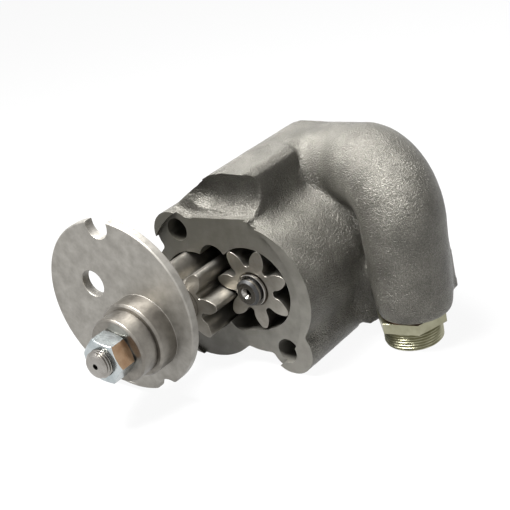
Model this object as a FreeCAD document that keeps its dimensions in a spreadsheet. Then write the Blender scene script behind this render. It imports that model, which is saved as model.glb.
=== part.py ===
"""Engine oil pump with a pair of external gears, shown with its cover pulled off the housing.

Frame: origin midway between the two mounting holes, on the machined joint face of the housing.
+Y runs along the shafts into the housing, so the cover and the shaft nut lie towards -Y.
+Z is up, away from the threaded pipe fitting. Lengths are in millimetres, angles in degrees.
"""
import FreeCAD, Part
import math
import os
import Sketcher

Vector = FreeCAD.Vector
DOC = FreeCAD.newDocument("oil_pump")
SHEET = DOC.addObject("Spreadsheet::Sheet", "Sizes")

# Driving sizes: name, value, meaning
DRIVING_SIZES = [
    ("drive_x", -21.9, "drive shaft axis, right of the origin"),
    ("drive_z", -4.1, "drive shaft axis, above the origin"),
    ("axis_distance", 36.0, "between the two gear axes"),
    ("axis_slope", 10.2, "rise of the line from the drive axis to the idler axis"),
    ("bolt_pitch", 81.5, "between the two mounting holes"),
    ("bolt_angle", 133.8, "direction of the upper mounting hole from the origin"),
    ("bolt_hole_radius", 6.1, "mounting holes"),
    ("recess_radius", 45.9, "round recess that the cover seats in"),
    ("recess_depth", 1.86, "rim that stands in front of the joint face"),
    ("overreach", 1.0, "how far cutters and joined forms reach past the faces they meet"),
    ("tooth_count", 7, "teeth on each gear"),
    ("addendum", 3.78, "tips of the teeth over the pitch circle"),
    ("root_radius", 11.7, "bottom of the tooth spaces"),
    ("tooth_backlash", 0.36, "play between meshed teeth on the pitch circle"),
    ("pressure_angle", 20.0, "of the rack that cuts the teeth"),
    ("gear_length", 36.0, "face width of both gears"),
    ("idler_tooth_angle", 19.6, "direction of one tooth tip of the idler gear"),
    ("end_clearance", 0.05, "between a gear end and the face beside it"),
    ("tip_clearance", 0.24, "between tooth tips and the chamber wall"),
    ("running_clearance", 0.03, "radial play of a shaft in its bush"),
    ("fit_clearance", 0.01, "radial play of pieces that are fixed together"),
    ("bush_wall", 2.0, "wall of the three bronze bushes"),
    ("pin_radius", 6.87, "idler pin"),
    ("pin_standout", 5.64, "idler pin in front of the joint face"),
    ("pin_seat_depth", 11.0, "idler pin in the rear wall"),
    ("pin_end_gap", 0.3, "air behind the idler pin in its hole"),
    ("pin_groove_depth", 0.7, "ring groove near the end of the idler pin"),
    ("pin_groove_width", 1.3, "ring groove near the end of the idler pin"),
    ("pin_land", 1.5, "from the chamfer of the idler pin to its groove"),
    ("centre_hole_radius", 1.5, "oil hole in the idler pin and centre hole in the shaft"),
    ("centre_cone_radius", 2.9, "mouth of the conical centre in the idler pin"),
    ("centre_cone_depth", 2.2, "conical centre in the idler pin"),
    ("centre_hole_depth", 6.0, "straight part of the centre holes"),
    ("shaft_withdrawal", 14.0, "drive gear face in front of the joint face"),
    ("journal_radius", 9.5, "drive shaft in its bushes"),
    ("seat_radius", 9.0, "drive shaft under the spacer and the outer gear"),
    ("thread_radius", 7.0, "threaded end of the drive shaft"),
    ("thread_standout", 4.2, "shaft end in front of the nut"),
    ("shaft_chamfer", 1.2, "threaded end of the drive shaft"),
    ("thread_runout", 1.0, "thread of the shaft behind the front of the spacer"),
    ("journal_lead", 0.3, "journal in front of the place of the seated cover"),
    ("tail_length", 18.5, "drive shaft behind the drive gear"),
    ("bush_setback", 0.5, "idler bush and cover bush behind the faces round them"),
    ("rear_bush_length", 18.0, "bush in the rear wall"),
    ("rear_bush_setback", 0.4, "air at each end of the rear bush"),
    ("drive_key_width", 5.0, "key of the drive gear"),
    ("drive_key_height", 5.0, "key of the drive gear"),
    ("drive_key_length", 22.0, "key of the drive gear"),
    ("key_top_play", 0.2, "keyway of the drive gear above its key"),
    ("outer_key_width", 5.0, "keyway for the gear that drives the pump"),
    ("outer_key_depth", 2.6, "keyway for the gear that drives the pump"),
    ("outer_key_length", 14.0, "keyway for the gear that drives the pump"),
    ("outer_key_setback", 2.0, "from that keyway to the journal"),
    ("circlip_thickness", 1.2, "retaining ring behind the drive gear"),
    ("circlip_width", 2.4, "retaining ring, in the radial direction"),
    ("circlip_groove", 0.9, "depth of the groove for the retaining ring"),
    ("circlip_gap", 5.0, "opening of the retaining ring"),
    ("circlip_play", 0.1, "retaining ring in its groove"),
    ("cover_radius", 45.68, "cover disc"),
    ("cover_thickness", 5.07, "cover disc"),
    ("cover_pull", 37.21, "cover face in front of the joint face"),
    ("cover_turn", 134.0, "cover turned on the shaft from its seated direction"),
    ("cover_chamfer", 0.6, "edges of the cover disc"),
    ("cover_notch_radius", 7.0, "notch in the cover beside the lower mounting hole"),
    ("cover_hole_radius", 5.5, "hole in the cover in line with the upper mounting hole"),
    ("scallop_radius", 9.0, "shallow hollow in the edge of the cover"),
    ("scallop_depth", 4.1, "shallow hollow in the edge of the cover"),
    ("scallop_angle", 161.0, "direction of the hollow from the centre of the seated cover"),
    ("boss_radius", 19.35, "boss on the cover"),
    ("boss_length", 11.0, "boss in front of the cover disc"),
    ("boss_chamfer", 1.0, "front edge of the boss"),
    ("pin_hole_clearance", 0.08, "radial play of the idler pin in the cover"),
    ("pin_hole_chamfer", 0.4, "edges of the hole for the idler pin"),
    ("stop_gap", 0.1, "between the boss and the spacer that stops it"),
    ("spacer_radius", 16.65, "spacer sleeve in front of the boss"),
    ("spacer_length", 10.0, "spacer sleeve in front of the boss"),
    ("spacer_chamfer", 0.8, "edges of the spacer sleeve"),
    ("nut_across_flats", 21.0, "shaft nut"),
    ("nut_height", 10.8, "shaft nut"),
    ("nut_face_inset", 0.3, "round face of the nut inside its flats"),
    ("nut_turn", 8.0, "direction of one corner of the shaft nut"),
    ("idler_wall_radius", 35.2, "outside of the housing about the idler axis"),
    ("drive_wall_radius", 28.5, "outside of the housing about the drive axis"),
    ("outlet_wall_radius", 37.1, "lobe of the housing below the drive axis"),
    ("outlet_lobe_start", -46.0, "right side of the lobe, about the drive axis"),
    ("outlet_lobe_sweep", 98.0, "angle that the lobe takes up"),
    ("ear_radius", 12.8, "ear round the upper mounting hole"),
    ("ear_offset_x", -1.5, "centre of the ear from its hole"),
    ("ear_offset_z", -2.4, "centre of the ear from its hole"),
    ("lug_radius", 13.3, "lug round the lower mounting hole"),
    ("lug_offset_x", 2.6, "centre of the lug from its hole"),
    ("lug_offset_z", 1.5, "centre of the lug from its hole"),
    ("ear_length", 34.0, "upper ear behind the joint face"),
    ("lug_length", 44.0, "lower lug behind the joint face"),
    ("rear_wall", 12.0, "behind the gear chambers"),
    ("flat_left_z", 35.8, "left end of the flat on top of the front"),
    ("flat_right_x", 17.2, "right end of the flat on top of the front"),
    ("flat_right_z", 39.0, "right end of the flat on top of the front"),
    ("flat_left_rise", 2.0, "flat on top, from its left end to the ear"),
    ("flat_left_inset", 1.0, "left end of the flat inside the ear"),
    ("flat_slope_x", 7.0, "slope at the right end of the flat"),
    ("flat_slope_z", 8.0, "slope at the right end of the flat"),
    ("top_port_radius", 8.3, "port above the meshing teeth"),
    ("top_port_x", -8.6, "port above the meshing teeth"),
    ("top_port_z", 14.9, "port above the meshing teeth"),
    ("bottom_port_radius", 7.5, "port below the meshing teeth"),
    ("bottom_port_x", 1.5, "port below the meshing teeth"),
    ("bottom_port_z", -15.6, "port below the meshing teeth"),
    ("port_edge_left_x", 1.1, "straight lower edge of the lower port"),
    ("port_edge_left_z", -23.1, "straight lower edge of the lower port"),
    ("port_edge_right_x", 18.9, "straight lower edge of the lower port"),
    ("port_edge_right_z", -19.5, "straight lower edge of the lower port"),
    ("block_left_x", -23.5, "duct block on top of the housing"),
    ("block_right_x", 8.0, "duct block on top of the housing"),
    ("block_left_z", 48.2, "top left edge of the duct block"),
    ("block_right_z", 53.2, "top right edge of the duct block"),
    ("block_front_y", 22.0, "front face of the duct block"),
    ("block_end_y", 94.0, "rear face of the duct block"),
    ("block_bevel", 4.0, "bevelled long edges of the duct block"),
    ("block_floor_wall", 3.0, "duct block below the upper port"),
    ("pipe_x", 69.6, "axis of the threaded fitting and of the bore above it"),
    ("pipe_y", 48.5, "axis of the threaded fitting and of the bore above it"),
    ("leg_offset", 3.0, "axis of the outside of the leg, right of the fitting"),
    ("leg_radius", 19.8, "vertical leg of the elbow, just above its rounded foot"),
    ("corner_z", 48.8, "where the centre lines of the duct and the leg meet"),
    ("bend_inner_radius", 1.2, "bend between the duct and the leg, on its inner side"),
    ("duct_radius", 21.0, "duct at its bend"),
    ("duct_start_radius", 17.0, "left end of the duct, inside the block"),
    ("duct_start_x", 2.0, "left end of the duct, inside the block"),
    ("duct_start_y", 78.5, "left end of the duct, inside the block"),
    ("duct_start_z", 40.5, "left end of the duct, inside the block"),
    ("link_radius", 7.3, "slanted way from the upper port to the duct"),
    ("link_y", 53.0, "slanted way from the upper port to the duct"),
    ("duct_way_reach", 14.0, "way in the duct past the start of its bend"),
    ("leg_way_reach", 16.0, "way in the leg above the end of the bend"),
    ("duct_wall", 6.0, "wall of the bend"),
    ("leg_wall", 6.8, "wall of the leg, on average"),
    ("duct_start_wall", 7.0, "wall of the duct at its left end"),
    ("leg_round_top_z", -12.0, "where the leg starts to narrow"),
    ("leg_foot_z", -24.6, "lower face of the leg"),
    ("leg_foot_radius", 17.0, "lower face of the leg"),
    ("shaft_boss_radius", 15.5, "boss behind the drive shaft"),
    ("shaft_boss_length", 10.0, "boss behind the drive shaft"),
    ("flange_radius", 36.3, "rear flange of the gear housing, about the idler axis"),
    ("flange_front_y", 41.0, "rear flange of the gear housing"),
    ("flange_right_x", 49.7, "square corner of the rear flange"),
    ("flange_foot_z", -34.0, "square corner of the rear flange"),
    ("saddle_radius", 28.0, "rise behind the rear flange, about the idler axis"),
    ("saddle_end_y", 62.0, "rise behind the rear flange"),
    ("web_front_y", 50.0, "web between the gear housing and the leg"),
    ("web_thickness", 9.0, "web between the gear housing and the leg"),
    ("web_top_z", 30.0, "web between the gear housing and the leg"),
    ("web_foot_z", -24.0, "web between the gear housing and the leg"),
    ("plate_thickness", 6.0, "rear plate beside the leg"),
    ("plate_front_y", 61.0, "rear plate beside the leg"),
    ("plate_right_x", 87.6, "rear plate beside the leg"),
    ("plate_top_x", 84.4, "upper right corner of the rear plate"),
    ("plate_top_z", 36.0, "rear plate beside the leg"),
    ("plate_foot_z", -19.0, "rear plate beside the leg"),
    ("fitting_thread_radius", 14.9, "outer thread of the pipe fitting"),
    ("fitting_thread_length", 10.1, "outer thread of the pipe fitting"),
    ("fitting_neck_radius", 12.0, "part of the fitting inside the leg"),
    ("fitting_neck_length", 15.0, "part of the fitting inside the leg"),
    ("neck_end_gap", 2.0, "air above the neck of the fitting"),
    ("hex_core_radius", 13.0, "round core of the fitting inside its hexagon"),
    ("fitting_bore_radius", 9.5, "way through the fitting"),
    ("fitting_cone_radius", 12.2, "mouth of the sealing cone in the fitting"),
    ("fitting_cone_depth", 6.5, "depth of the sealing cone in the fitting"),
    ("fitting_chamfer", 1.0, "end of the outer thread"),
    ("hex_across_flats", 31.5, "hexagon of the pipe fitting"),
    ("hex_turn", 11.0, "direction of one corner of the fitting hexagon"),
    ("hex_height", 5.5, "hexagon of the pipe fitting"),
    ("seal_thickness", 1.0, "sealing ring between the leg and the fitting"),
    ("seal_width", 2.6, "sealing ring, in the radial direction"),
    ("seal_play", 0.1, "sealing ring round the neck of the fitting"),
]

for row, (alias, value, meaning) in enumerate(DRIVING_SIZES, start=1):
    SHEET.set("A%d" % row, alias)
    SHEET.set("B%d" % row, str(value))
    SHEET.set("C%d" % row, meaning)
    SHEET.setAlias("B%d" % row, alias)
DOC.recompute()

# Places that several pieces share, as formulas of the driving sizes
DRIVE_X = "Sizes.drive_x"
DRIVE_Z = "Sizes.drive_z"
IDLER_X = "(Sizes.drive_x + Sizes.axis_distance * cos(Sizes.axis_slope * 1 deg))"
IDLER_Z = "(Sizes.drive_z + Sizes.axis_distance * sin(Sizes.axis_slope * 1 deg))"
RECESS_X = "((Sizes.drive_x + %s) / 2)" % IDLER_X
RECESS_Z = "((Sizes.drive_z + %s) / 2)" % IDLER_Z
BOLT_X = "(Sizes.bolt_pitch / 2 * cos(Sizes.bolt_angle * 1 deg))"
BOLT_Z = "(Sizes.bolt_pitch / 2 * sin(Sizes.bolt_angle * 1 deg))"
CHAMBER_DEPTH = "(Sizes.gear_length + 2 * Sizes.end_clearance)"
BODY_END = "(%s + Sizes.rear_wall)" % CHAMBER_DEPTH
GEAR_FRONT = "(Sizes.end_clearance - Sizes.shaft_withdrawal)"
COVER_FRONT = "(0 - Sizes.cover_pull - Sizes.cover_thickness)"
BOSS_FRONT = "(%s - Sizes.boss_length)" % COVER_FRONT
SPACER_FRONT = "(%s - Sizes.stop_gap - Sizes.spacer_length)" % BOSS_FRONT
NUT_FRONT = "(%s - Sizes.nut_height)" % SPACER_FRONT
SHAFT_FRONT = "(%s - Sizes.thread_standout)" % NUT_FRONT
BUSH_BORE = "(Sizes.journal_radius + Sizes.running_clearance)"
BUSH_SIZE = "(Sizes.journal_radius + Sizes.bush_wall)"
CHAMBER_RADIUS = "(Sizes.axis_distance / 2 + Sizes.addendum + Sizes.tip_clearance)"

OVER = "Sizes.overreach"
DRIVE_KEY_TOP = "(Sizes.journal_radius + Sizes.drive_key_height / 2)"
CIRCLIP_FRONT = "(%s + Sizes.gear_length + Sizes.end_clearance)" % GEAR_FRONT
IDLER_BUSH_BORE = "(Sizes.pin_radius + Sizes.running_clearance)"
IDLER_BUSH_SIZE = "(Sizes.pin_radius + Sizes.bush_wall)"
FITTING_FOOT = ("(Sizes.leg_foot_z - Sizes.seal_thickness - Sizes.hex_height"
                " - Sizes.fitting_thread_length)")

ALONG_Y = FreeCAD.Rotation(Vector(1, 0, 0), -90)
LYING_TO_UPRIGHT = FreeCAD.Rotation(Vector(1, 0, 0), 90)
UPRIGHT = FreeCAD.Rotation()


def size(alias):
    """Value of one driving size."""
    return float(SHEET.get(alias))


def bind(thing, **formulas):
    """Bind properties of a document object to formulas of the sheet."""
    for name, formula in formulas.items():
        thing.setExpression(name.replace("__", "."), formula)
    return thing


def place(thing, x, y, z, rotation=UPRIGHT):
    """Put an object at a place given by formulas."""
    thing.Placement = FreeCAD.Placement(Vector(), rotation)
    return bind(thing, Placement__Base__x=x, Placement__Base__y=y, Placement__Base__z=z)


def cylinder(name, radius, length, x, y, z, rotation=ALONG_Y):
    """Round bar or hole, along Y unless another rotation is given."""
    bar = DOC.addObject("Part::Cylinder", name)
    bind(bar, Radius=radius, Height=length)
    return place(bar, x, y, z, rotation)


def fuse(name, pieces):
    """Union of several shapes."""
    union = DOC.addObject("Part::MultiFuse", name)
    union.Shapes = pieces
    union.Refine = True
    return union


def cut(name, base, tool, label=None):
    """One shape less another."""
    result = DOC.addObject("Part::Cut", name)
    result.Base = base
    result.Tool = tool
    result.Refine = True
    if label:
        result.Label = label
    return result


def origin_plane(body, role):
    """Origin plane of a body, found by its role."""
    return [part for part in body.Origin.OriginFeatures if part.Role == role][0]


def sketch_on(body, role, name):
    """Empty sketch on an origin plane of its own body."""
    sketch = body.newObject("Sketcher::SketchObject", name)
    sketch.AttachmentSupport = [(origin_plane(body, role), "")]
    sketch.MapMode = "FlatFace"
    return sketch


def polygon(sketch, corners):
    """Closed outline through corners, each a pair of formulas, tied to the sheet."""
    count = len(corners)
    for index in range(count):
        start = Vector(index, index * index, 0)
        end = Vector(index + 1, (index + 1) * (index + 1), 0)
        sketch.addGeometry(Part.LineSegment(start, end), False)
    constraint = Sketcher.Constraint
    for index in range(count):
        sketch.addConstraint(constraint("Coincident", index, 2, (index + 1) % count, 1))
    for index, (across, along) in enumerate(corners):
        for kind, formula in (("DistanceX", across), ("DistanceY", along)):
            number = sketch.addConstraint(constraint(kind, -1, 1, index, 1, 1.0 + index))
            sketch.setExpression("Constraints[%d]" % number, formula)
    return sketch


def turned(name, label, corners, x, y, z, rotation=UPRIGHT):
    """Turned piece: corners are (radius, distance along the axis) from its front end."""
    body = DOC.addObject("PartDesign::Body", name)
    body.Label = label
    sketch = polygon(sketch_on(body, "XY_Plane", name + "_profile"), corners)
    turn = body.newObject("PartDesign::Revolution", name + "_turned")
    turn.Profile = sketch
    turn.ReferenceAxis = (sketch, ["V_Axis"])
    turn.Angle = 360
    sketch.Visibility = False
    place(body, x, y, z, rotation)
    return body


def circle(sketch, x, z, radius):
    """Circle tied to the sheet."""
    number = sketch.addGeometry(Part.Circle(Vector(1, 1, 0), Vector(0, 0, 1), 5), False)
    for kind, formula in (("DistanceX", x), ("DistanceY", z)):
        held = sketch.addConstraint(Sketcher.Constraint(kind, -1, 1, number, 3, 1.0))
        sketch.setExpression("Constraints[%d]" % held, formula)
    held = sketch.addConstraint(Sketcher.Constraint("Radius", number, 5.0))
    sketch.setExpression("Constraints[%d]" % held, radius)
    return sketch


def pad(body, sketch, name, length):
    """Pad from the XZ plane towards +Y."""
    feature = body.newObject("PartDesign::Pad", name)
    feature.Profile = sketch
    feature.Reversed = True
    sketch.Visibility = False
    return bind(feature, Length=length)


def pocket(body, sketch, name):
    """Cut all the way through, both ways from the XZ plane."""
    feature = body.newObject("PartDesign::Pocket", name)
    feature.Profile = sketch
    feature.Type = "ThroughAll"
    feature.Midplane = True
    sketch.Visibility = False
    return feature


def prism(name, corners, y, length):
    """Straight-sided block along Y with its outline in X and Z."""
    body = DOC.addObject("PartDesign::Body", name)
    sketch = polygon(sketch_on(body, "XZ_Plane", name + "_outline"), corners)
    pad(body, sketch, name + "_pad", length)
    return place(body, "0", y, "0")


def tube(name, label, bore, outside, length, x, y, z):
    """Plain bush or ring along Y."""
    corners = [(bore, "0"), (outside, "0"), (outside, length), (bore, length)]
    return turned(name, label, corners, x, y, z)


def radial_edges(shape, radius, height=None):
    """Numbers of the round edges of one radius, at one distance along Y if it is given."""
    found = []
    for number, edge in enumerate(shape.Edges, start=1):
        curve = edge.Curve
        if not isinstance(curve, Part.Circle) or abs(curve.Radius - radius) > 1e-3:
            continue
        if height is None or abs(curve.Center.y - height) < 1e-3:
            found.append("Edge%d" % number)
    return found


def involute(angle):
    """Involute function."""
    return math.tan(angle) - angle


def polar(radius, angle):
    """Point in the XZ plane."""
    return Vector(radius * math.cos(angle), 0, radius * math.sin(angle))


def tip_radius():
    """Radius over the tips of the teeth."""
    return size("axis_distance") / 2 + size("addendum")


def tooth_flank():
    """One flank as two lists of (radius, angle from the middle of the tooth).

    The teeth are cut by a rack. So few teeth are undercut: below the pitch circle the
    corner of the rack leaves a narrow waist, and above it the flank is an involute.
    """
    teeth = size("tooth_count")
    pitch_radius = size("axis_distance") / 2
    slope = math.radians(size("pressure_angle"))
    base_radius = pitch_radius * math.cos(slope)
    thickness = math.pi * pitch_radius / teeth - size("tooth_backlash") / 2
    depth = pitch_radius - size("root_radius")
    rack_half = math.pi * pitch_radius / teeth - thickness / 2 - depth * math.tan(slope)

    def involute_angle(radius):
        turn = involute(math.acos(base_radius / radius))
        return thickness / (2 * pitch_radius) + involute(slope) - turn

    def waist_point(roll):
        across = rack_half + pitch_radius * roll
        height = pitch_radius - depth
        turn = math.atan2(across, height) - roll
        return math.hypot(across, height), math.pi / teeth - turn

    low = 0.0
    high = math.sqrt(pitch_radius ** 2 - size("root_radius") ** 2) / pitch_radius
    for _ in range(40):
        middle = (low + high) / 2
        radius, angle = waist_point(middle)
        if radius < base_radius or angle < involute_angle(radius):
            low = middle
        else:
            high = middle
    waist_steps = 2
    start = -rack_half / pitch_radius
    waist = []
    for step in range(waist_steps + 1):
        waist.append(waist_point(start + (low - start) * step / waist_steps))
    flank_steps = 4
    bottom = waist[-1][0]
    flank = [waist[-1]]
    for step in range(1, flank_steps + 1):
        radius = bottom + (tip_radius() - bottom) * step / flank_steps
        flank.append((radius, involute_angle(radius)))
    return waist, flank


def gear_blank(tooth_angle):
    """Solid gear with one tooth at the given direction, from Y = 0 to its length."""
    waist, flank = tooth_flank()
    teeth = int(size("tooth_count"))
    half_pitch = math.pi / teeth
    tip = tip_radius()
    root = size("root_radius")
    edges = []

    def curve(points, middle, side):
        ends = [polar(radius, middle + side * angle) for radius, angle in points]
        for first in range(0, len(ends) - 2, 2):
            edges.append(Part.Arc(*ends[first:first + 3]).toShape())

    def arc(radius, first, last):
        middle = (first + last) / 2
        ends = [polar(radius, angle) for angle in (first, middle, last)]
        edges.append(Part.Arc(*ends).toShape())

    for tooth in range(teeth):
        middle = math.radians(tooth_angle) + 2 * half_pitch * tooth
        arc(root, middle - 2 * half_pitch + waist[0][1], middle - waist[0][1])
        curve(waist, middle, -1)
        curve(flank, middle, -1)
        arc(tip, middle - flank[-1][1], middle + flank[-1][1])
        curve(flank[::-1], middle, 1)
        curve(waist[::-1], middle, 1)
    face = Part.Face(Part.Wire(Part.__sortEdges__(edges)))
    return face.extrude(Vector(0, size("gear_length"), 0))


def gear(name, tooth_angle):
    """Gear blank as a feature of the document."""
    blank = DOC.addObject("Part::Feature", name)
    blank.Shape = gear_blank(tooth_angle)
    return blank


def housing_walls(rim, body_length):
    """Outside of the casting, as overlapping simple forms."""
    ear_x = "(%s + Sizes.ear_offset_x)" % BOLT_X
    ear_z = "(%s + Sizes.ear_offset_z)" % BOLT_Z
    lug_x = "(0 - %s + Sizes.lug_offset_x)" % BOLT_X
    lug_z = "(0 - %s + Sizes.lug_offset_z)" % BOLT_Z
    lobe_turn = FreeCAD.Rotation(Vector(0, 1, 0), -size("outlet_lobe_start"))
    lobe = cylinder("outlet_lobe", "Sizes.outlet_wall_radius", body_length,
                    DRIVE_X, rim, DRIVE_Z, lobe_turn.multiply(ALONG_Y))
    bind(lobe, Angle="Sizes.outlet_lobe_sweep * 1 deg")
    flat = [
        (ear_x, "(Sizes.flat_left_z + Sizes.flat_left_rise)"),
        ("(%s + Sizes.ear_radius - Sizes.flat_left_inset)" % ear_x, "Sizes.flat_left_z"),
        ("Sizes.flat_right_x", "Sizes.flat_right_z"),
        ("(Sizes.flat_right_x + Sizes.flat_slope_x)", "(Sizes.flat_right_z - Sizes.flat_slope_z)"),
        (IDLER_X, IDLER_Z),
        (DRIVE_X, DRIVE_Z),
        (ear_x, ear_z),
    ]
    block_floor = "(Sizes.top_port_z - Sizes.top_port_radius - Sizes.block_floor_wall)"
    block = [
        ("Sizes.block_left_x", block_floor),
        ("Sizes.block_right_x", block_floor),
        ("Sizes.block_right_x", "(Sizes.block_right_z - Sizes.block_bevel)"),
        ("(Sizes.block_right_x - Sizes.block_bevel)", "Sizes.block_right_z"),
        ("(Sizes.block_left_x + Sizes.block_bevel)", "Sizes.block_left_z"),
        ("Sizes.block_left_x", "(Sizes.block_left_z - Sizes.block_bevel)"),
    ]
    block_length = "(Sizes.block_end_y - Sizes.block_front_y)"
    corner = [
        (IDLER_X, "Sizes.flange_foot_z"),
        ("Sizes.flange_right_x", "Sizes.flange_foot_z"),
        ("Sizes.flange_right_x", IDLER_Z),
        (IDLER_X, IDLER_Z),
    ]
    flange_length = "(%s - Sizes.flange_front_y)" % BODY_END
    ear_length = "(Sizes.ear_length + Sizes.recess_depth)"
    lug_length = "(Sizes.lug_length + Sizes.recess_depth)"
    return [
        cylinder("idler_wall", "Sizes.idler_wall_radius", body_length, IDLER_X, rim, IDLER_Z),
        cylinder("drive_wall", "Sizes.drive_wall_radius", body_length, DRIVE_X, rim, DRIVE_Z),
        cylinder("ear", "Sizes.ear_radius", ear_length, ear_x, rim, ear_z),
        cylinder("lug", "Sizes.lug_radius", lug_length, lug_x, rim, lug_z),
        lobe,
        prism("top_flat", flat, rim, body_length),
        prism("duct_block", block, "Sizes.block_front_y", block_length),
        cylinder("shaft_boss", "Sizes.shaft_boss_radius", "(Sizes.shaft_boss_length + %s)" % OVER,
                 DRIVE_X, "(%s - %s)" % (BODY_END, OVER), DRIVE_Z),
        cylinder("saddle", "Sizes.saddle_radius", "(Sizes.saddle_end_y - Sizes.flange_front_y)",
                 IDLER_X, "Sizes.flange_front_y", IDLER_Z),
        cylinder("rear_flange", "Sizes.flange_radius", flange_length,
                 IDLER_X, "Sizes.flange_front_y", IDLER_Z),
        prism("flange_corner", corner, "Sizes.flange_front_y", flange_length),
    ]


def duct_line():
    """Centre line of the duct and its bend, as duct start, bend start, pivot and bend end."""
    start = Vector(size("duct_start_x"), size("duct_start_y"), size("duct_start_z"))
    corner = Vector(size("pipe_x") + size("leg_offset"), size("pipe_y"), size("corner_z"))
    along = (start - corner).normalize()
    down = Vector(0, 0, -1)
    half_angle = along.getAngle(down) / 2
    bend_radius = size("duct_radius") + size("bend_inner_radius")
    reach = bend_radius / math.tan(half_angle)
    pivot = corner + (along + down).normalize() * (bend_radius / math.sin(half_angle))
    return start, corner + along * reach, pivot, corner + down * reach


def duct_cone(name, start_radius, end_radius):
    """Widening round bar along the centre line of the duct, to the start of its bend."""
    start, bend_start, pivot, bend_end = duct_line()
    way = bend_start - start
    cone = DOC.addObject("Part::Feature", name)
    cone.Shape = Part.makeCone(start_radius, end_radius, way.Length, start, way)
    return cone


def bend_way(radius):
    """Straight way that carries the duct on into its bend."""
    start, bend_start, pivot, bend_end = duct_line()
    way = DOC.addObject("Part::Feature", "bend_way")
    way.Shape = Part.makeCylinder(radius, size("duct_way_reach"), bend_start, bend_start - start)
    return way


def duct_bend():
    """Bend of the duct: its round section turned about the pivot."""
    start, bend_start, pivot, bend_end = duct_line()
    outward = bend_start - pivot
    turn = math.degrees(outward.getAngle(bend_end - pivot))
    section = Part.Circle(bend_start, bend_start - start, size("duct_radius"))
    face = Part.Face(Part.Wire(section.toShape()))
    bend = DOC.addObject("Part::Feature", "bend")
    bend.Shape = face.revolve(pivot, outward.cross(bend_end - pivot), turn)
    return bend


def ball(name, radius, x, y, z):
    """Ball at a place given by formulas."""
    globe = DOC.addObject("Part::Sphere", name)
    bind(globe, Radius=radius)
    return place(globe, x, y, z)


def elbow_walls():
    """Duct with its bend, tapered vertical leg with a rounded foot, and the rear plate."""
    narrowing = "(Sizes.leg_radius - Sizes.leg_foot_radius)"
    rise = "(Sizes.leg_round_top_z - Sizes.leg_foot_z)"
    corners = [("0", "0")]
    steps = 5
    for step in range(steps + 1):
        turn = math.pi / 2 * step / steps
        radius = "(Sizes.leg_foot_radius + %s * %.4f)" % (narrowing, math.sin(turn))
        corners.append((radius, "(%s * %.4f)" % (rise, 1 - math.cos(turn))))
    top = "%.4f" % (duct_line()[3].z - size("leg_foot_z"))
    corners += [("Sizes.duct_radius", top), ("0", top)]
    leg = turned("leg", "leg", corners, "(Sizes.pipe_x + Sizes.leg_offset)", "Sizes.pipe_y",
                 "Sizes.leg_foot_z", LYING_TO_UPRIGHT)
    plate_corners = [
        ("Sizes.pipe_x", "Sizes.plate_foot_z"),
        ("Sizes.plate_right_x", "Sizes.plate_foot_z"),
        ("Sizes.plate_top_x", "Sizes.plate_top_z"),
        ("Sizes.pipe_x", "Sizes.plate_top_z"),
    ]
    plate = prism("rear_plate", plate_corners, "Sizes.plate_front_y", "Sizes.plate_thickness")
    web = DOC.addObject("Part::Box", "web")
    bind(web, Length="(Sizes.pipe_x - %s)" % IDLER_X, Width="Sizes.web_thickness",
         Height="(Sizes.web_top_z - Sizes.web_foot_z)")
    place(web, IDLER_X, "Sizes.web_front_y", "Sizes.web_foot_z")
    duct = duct_cone("duct", size("duct_start_radius"), size("duct_radius"))
    return [fuse("straight_walls", [duct, leg, plate, web]), duct_bend()]


def link_way():
    """Slanted round way from the end of the upper port to the left end of the duct."""
    port = Vector(size("top_port_x"), size("link_y"), size("top_port_z"))
    duct = Vector(size("duct_start_x"), size("duct_start_y"), size("duct_start_z"))
    way = DOC.addObject("Part::Feature", "link_way")
    way.Shape = Part.makeCylinder(size("link_radius"), (duct - port).Length, port, duct - port)
    return way


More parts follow.
